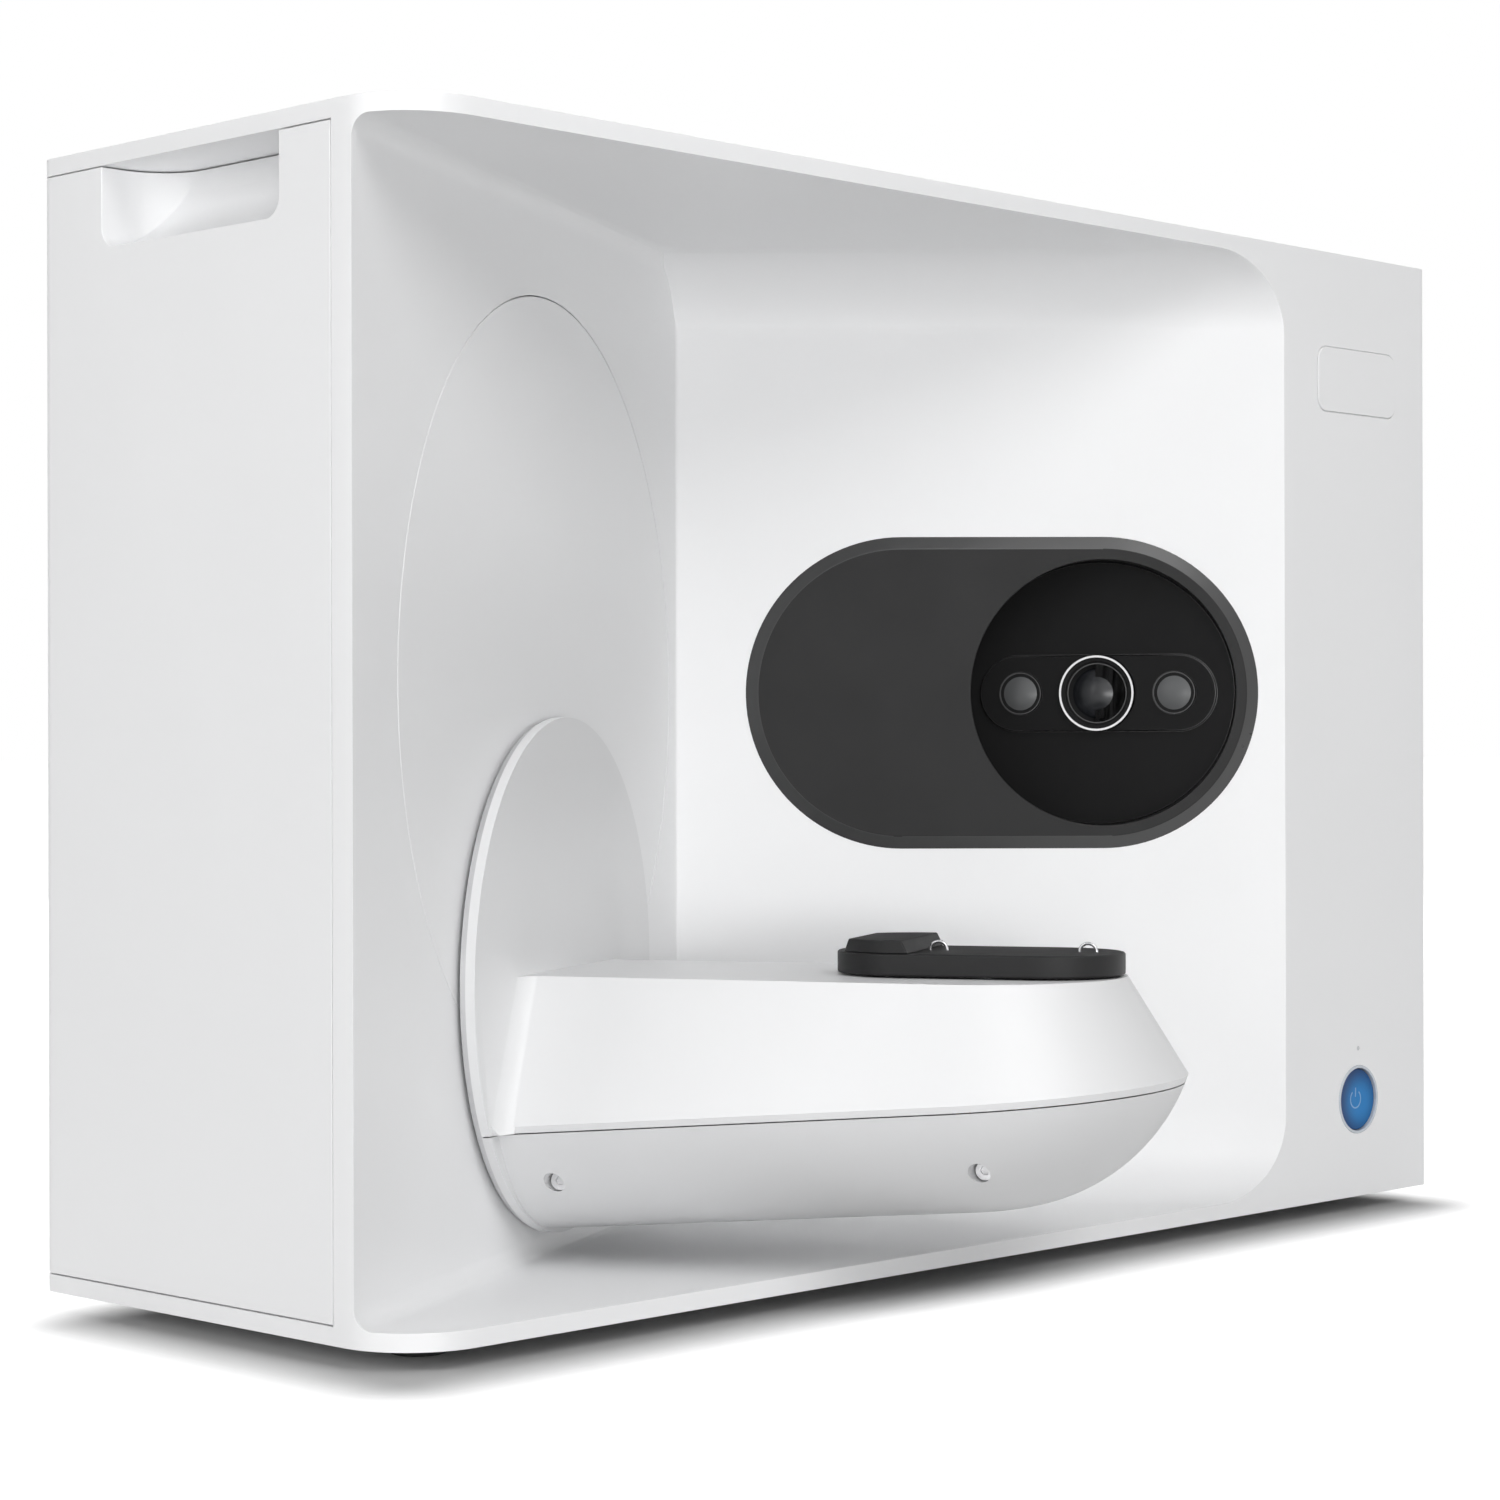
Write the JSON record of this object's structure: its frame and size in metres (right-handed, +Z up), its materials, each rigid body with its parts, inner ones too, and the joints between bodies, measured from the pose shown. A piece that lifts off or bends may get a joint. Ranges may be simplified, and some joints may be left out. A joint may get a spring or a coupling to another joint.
{
  "type": "dental scanner",
  "caption": "Desktop dental lab scanner: white cabinet with an open corner chamber, a swing arm that carries a turntable jig plate, and a rounded camera unit facing it.",
  "frame": {"origin": "on the table top, under the middle of the whole object, arm included", "axes": "+X to the right as seen from the front, +Y from the open front to the back, +Z up"},
  "size_m": [0.494, 0.2634, 0.346],
  "materials": {
    "white_shell": "satin moulded white",
    "white_panel": "satin moulded white",
    "white_arm": "satin moulded white",
    "white_belly": "satin moulded white, a shade greyer",
    "bezel_grey": "fine matte charcoal",
    "recess_black": "light-trapping matte black",
    "lens_ring": "polished ring",
    "lens_glass": "coated lens glass",
    "jig_black": "matte charcoal",
    "wire_steel": "bright steel",
    "button_blue": "glossy translucent blue",
    "button_trim": "glossy pale rim",
    "led_white": "light pipe",
    "foot_rubber": "matte rubber",
    "sheet_steel": "zinc plated sheet",
    "machined_aluminium": "machined",
    "shaft_steel": "ground steel",
    "gear_brass": "cut brass",
    "motor_dark": "black painted motor can",
    "socket_black": "moulded black",
    "board_green": "solder mask"
  },
  "bodies": {
    "cabinet": {"front_shell": "white_shell", "left_side_panel": "white_panel", "right_side_panel": "white_panel", "rear_cover": "white_panel", "rear_screws": "wire_steel", "chassis_plate": "sheet_steel", "feet": "foot_rubber", "badge_plate": "white_panel", "button_ring": "button_trim", "button_switch": "socket_black", "status_led": "led_white", "camera_bezel": "bezel_grey", "lens_hood": "recess_black", "lens_plate": "recess_black", "projector_barrel": "recess_black", "projector_ring": "lens_ring", "projector_lens": "lens_glass", "camera_barrels": "recess_black", "camera_lenses": "lens_glass", "camera_modules": "machined_aluminium", "projector_engine": "machined_aluminium", "optics_stand": "sheet_steel", "main_board": "board_green", "usb_port": "shaft_steel", "power_inlet": "socket_black", "power_supply": "sheet_steel", "swing_bracket": "sheet_steel", "swing_bearing": "machined_aluminium", "swing_motor": "motor_dark"},
    "swing_arm": {"swing_disc": "white_arm", "swing_shaft": "shaft_steel", "swing_gear": "gear_brass", "arm_flange": "machined_aluminium", "arm_upper_cover": "white_arm", "arm_lower_cover": "white_belly", "arm_screws": "wire_steel", "arm_frame": "machined_aluminium", "table_bearing": "machined_aluminium", "table_motor": "motor_dark"},
    "turntable": {"table_gear": "gear_brass", "table_spindle": "shaft_steel", "jig_plate": "jig_black", "jig_block": "jig_black", "jig_wires": "wire_steel"},
    "swing_pinion": {"swing_pinion": "gear_brass"},
    "table_pinion": {"table_pinion": "gear_brass"},
    "power_button": {"power_button": "button_blue"}
  },
  "joints": [
    {"name": "arm_swing", "type": "hinge", "parent": "cabinet", "child": "swing_arm", "pos_m": [-0.11027, 0.05399, 0.188], "axis": [-0.4601, 0.8878, 0], "range_deg": [-20, 60]},
    {"name": "table_turn", "type": "hinge", "parent": "swing_arm", "child": "turntable", "pos_m": [-0.04634, -0.06936, 0.1], "axis": [0, 0, 1], "continuous": true},
    {"name": "swing_pinion_turn", "type": "hinge", "parent": "cabinet", "child": "swing_pinion", "pos_m": [-0.15022, 0.03329, 0.188], "axis": [-0.4601, 0.8878, 0], "range_deg": [-250, 90]},
    {"name": "table_pinion_turn", "type": "hinge", "parent": "swing_arm", "child": "table_pinion", "pos_m": [-0.06428, -0.03473, 0.066], "axis": [0, 0, 1], "continuous": true},
    {"name": "power_press", "type": "slide", "parent": "cabinet", "child": "power_button", "axis": [0, 1, 0], "range_m": [0, 0.0015], "stiffness_N_per_m": 600, "springref_m": -0.002}
  ],
  "couplings": [
    {"joint": "swing_pinion_turn", "follows": "arm_swing", "ratio": -4},
    {"joint": "table_pinion_turn", "follows": "table_turn", "ratio": -3.3333}
  ]
}
